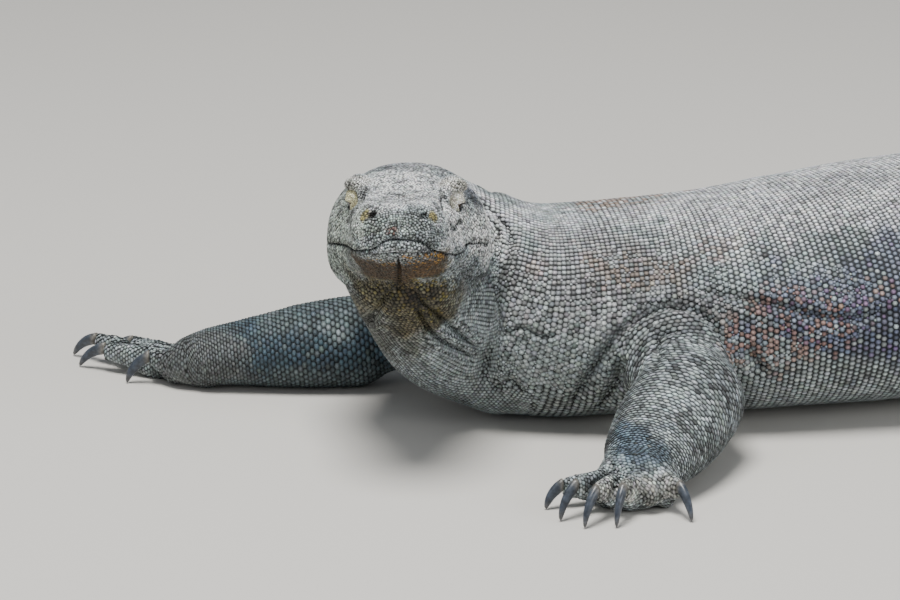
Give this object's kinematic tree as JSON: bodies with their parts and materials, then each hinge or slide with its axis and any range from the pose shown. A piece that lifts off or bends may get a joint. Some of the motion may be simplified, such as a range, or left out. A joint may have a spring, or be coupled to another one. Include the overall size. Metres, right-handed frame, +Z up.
{
  "type": "komodo dragon",
  "caption": "Life-size still model of a large monitor lizard lying on its belly, head raised and turned, forelegs spread, tail laid along the floor.",
  "frame": {"origin": "on the floor under the middle of the trunk, where the belly rests", "axes": "+X along the trunk to the tail, -X to the neck and head; +Z up; the animal's left side faces -Y"},
  "size_m": [2.3858, 0.8163, 0.2578],
  "materials": {
    "scaly_skin": "dry grey-brown scaly hide, matt",
    "claw_horn": "dark blue-grey horn, satin",
    "eye_wet": "dark brown, wet gloss"
  },
  "bodies": {
    "root": {"head": "scaly_skin", "lower_jaw": "scaly_skin", "neck": "scaly_skin", "chest": "scaly_skin", "abdomen": "scaly_skin", "pelvis": "scaly_skin", "tail_root": "scaly_skin", "tail_upper": "scaly_skin", "tail_middle": "scaly_skin", "tail_lower": "scaly_skin", "tail_tip": "scaly_skin", "upper_arm_left": "scaly_skin", "forearm_left": "scaly_skin", "hand_left": "scaly_skin", "thigh_left": "scaly_skin", "shank_left": "scaly_skin", "foot_left": "scaly_skin", "upper_arm_right": "scaly_skin", "forearm_right": "scaly_skin", "hand_right": "scaly_skin", "thigh_right": "scaly_skin", "shank_right": "scaly_skin", "foot_right": "scaly_skin", "eye_left": "eye_wet", "eye_right": "eye_wet", "claw_hand_left_1": "claw_horn", "claw_hand_left_2": "claw_horn", "claw_hand_left_3": "claw_horn", "claw_hand_left_4": "claw_horn", "claw_hand_left_5": "claw_horn", "claw_hand_right_1": "claw_horn", "claw_hand_right_2": "claw_horn", "claw_hand_right_3": "claw_horn", "claw_hand_right_4": "claw_horn", "claw_hand_right_5": "claw_horn", "claw_foot_left_1": "claw_horn", "claw_foot_left_2": "claw_horn", "claw_foot_left_3": "claw_horn", "claw_foot_left_4": "claw_horn", "claw_foot_left_5": "claw_horn", "claw_foot_right_1": "claw_horn", "claw_foot_right_2": "claw_horn", "claw_foot_right_3": "claw_horn", "claw_foot_right_4": "claw_horn", "claw_foot_right_5": "claw_horn"}
  },
  "joints": []
}
